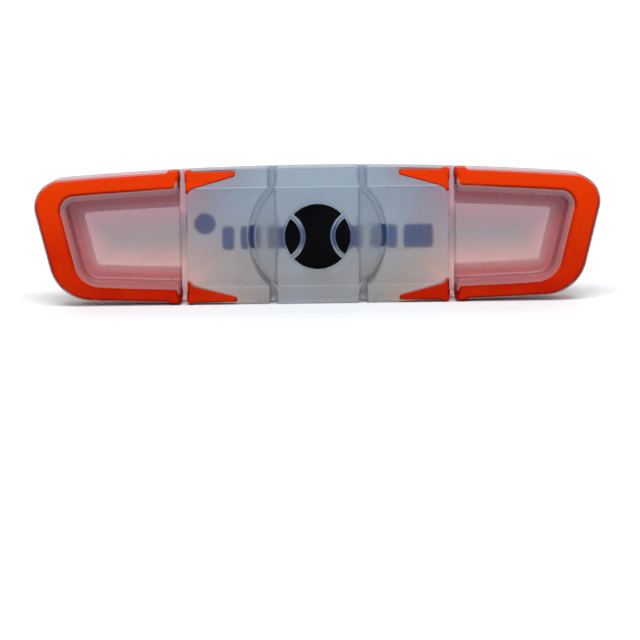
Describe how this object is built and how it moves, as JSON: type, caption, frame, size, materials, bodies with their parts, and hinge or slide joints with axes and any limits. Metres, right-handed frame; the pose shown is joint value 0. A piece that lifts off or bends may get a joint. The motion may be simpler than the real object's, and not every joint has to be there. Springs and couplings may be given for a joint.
{
  "type": "vibration dampener",
  "caption": "Long flat silicone racket string dampener: milky strip with string grooves, a round centre flange, orange end frames and fins, and a black ball emblem.",
  "frame": {"origin": "middle of the string bed that the dampener sits on: centre of the strip, half way through its thickness", "axes": "+X along the strip to its right-hand end, -Y out of the front face with the emblem, +Z towards the wider long edge"},
  "size_m": [0.0954, 0.0084, 0.0232],
  "materials": {
    "milky_silicone": "satin translucent",
    "orange_silicone": "satin",
    "black_silicone": "satin",
    "blue_black_silicone": "satin"
  },
  "bodies": {
    "root": {"body": "milky_silicone", "end_frame_left": "orange_silicone", "end_frame_right": "orange_silicone", "fin_upper_left": "orange_silicone", "fin_lower_left": "orange_silicone", "fin_upper_right": "orange_silicone", "fin_lower_right": "orange_silicone", "emblem_left": "black_silicone", "emblem_middle": "black_silicone", "emblem_right": "black_silicone", "back_mark_bar_1": "blue_black_silicone", "back_mark_bar_2": "blue_black_silicone", "back_mark_bar_3": "blue_black_silicone", "back_mark_bar_4": "blue_black_silicone", "back_mark_bar_5": "blue_black_silicone", "back_mark_bar_6": "blue_black_silicone", "back_mark_bar_7": "blue_black_silicone", "back_mark_dot": "blue_black_silicone"}
  },
  "joints": []
}
